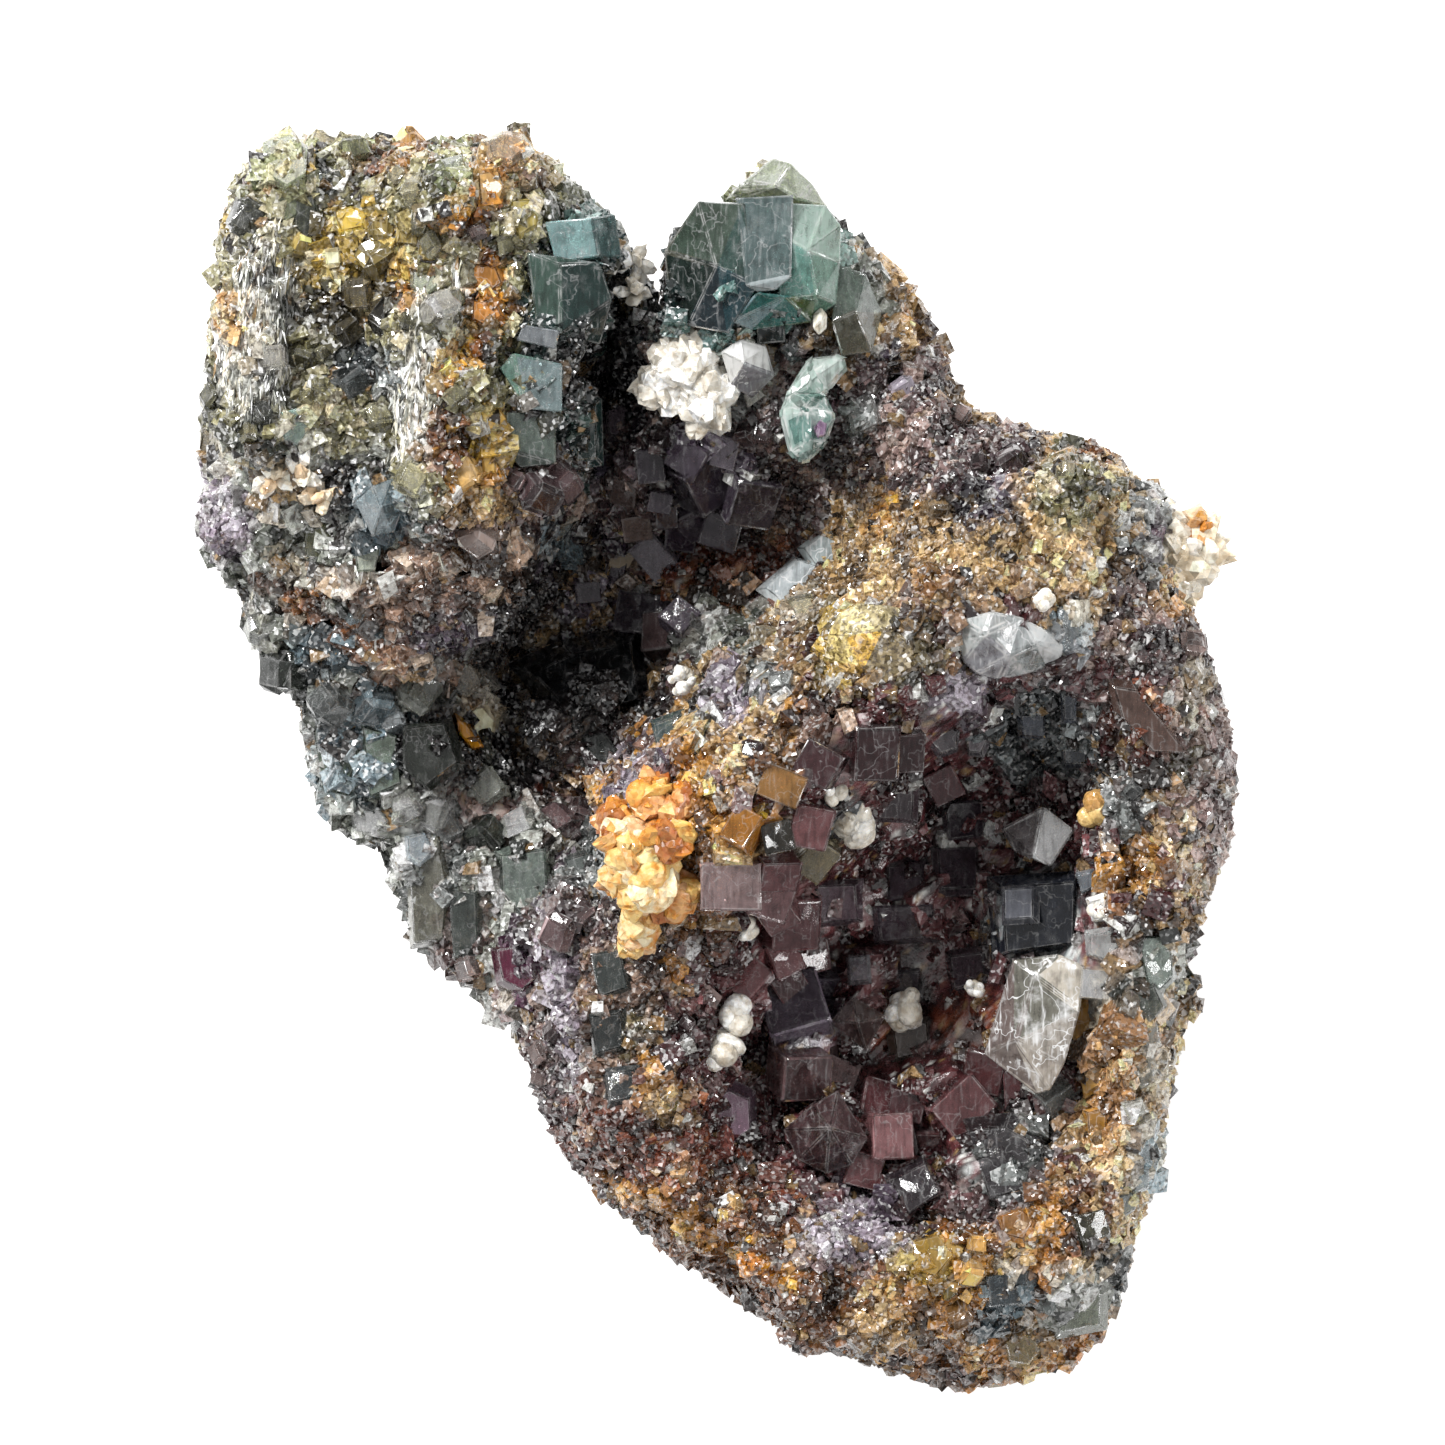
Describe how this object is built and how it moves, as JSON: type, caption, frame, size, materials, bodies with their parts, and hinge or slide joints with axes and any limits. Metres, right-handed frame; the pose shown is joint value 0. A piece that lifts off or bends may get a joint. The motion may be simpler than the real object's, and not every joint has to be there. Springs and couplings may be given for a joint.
{
  "type": "fluorite crystal cluster",
  "caption": "Hand specimen of green and purple fluorite cubes with white and ochre calcite on rock, with a crystal-lined hollow; it lies on its flat broken back.",
  "frame": {"origin": "middle of the bounding box, on the surface that the specimen rests on", "axes": "+Z out of the display face, +Y along the specimen's length towards the green block, +X across it"},
  "size_m": [0.0582, 0.0708, 0.0317],
  "materials": {
    "rock": "granular, matt with glassy grains",
    "green_fluorite": "glassy, striated",
    "teal_fluorite": "glassy",
    "purple_fluorite": "glassy",
    "clear_crystal": "glassy",
    "calcite": "satin",
    "ochre_calcite": "satin"
  },
  "bodies": {
    "root": {"matrix_rock": "rock", "green_fluorite_block": "green_fluorite", "top_fluorite": "teal_fluorite", "slope_fluorite": "teal_fluorite", "cavity_crust": "purple_fluorite", "bowl_crust": "purple_fluorite", "clear_crystal": "clear_crystal", "green_tooth": "green_fluorite", "calcite_rosette": "calcite", "edge_calcite": "calcite", "ochre_calcite": "ochre_calcite", "bowl_calcite_1": "calcite", "bowl_calcite_2": "calcite", "bowl_calcite_3": "calcite", "bowl_calcite_4": "calcite", "bowl_calcite_5": "calcite"}
  },
  "joints": []
}
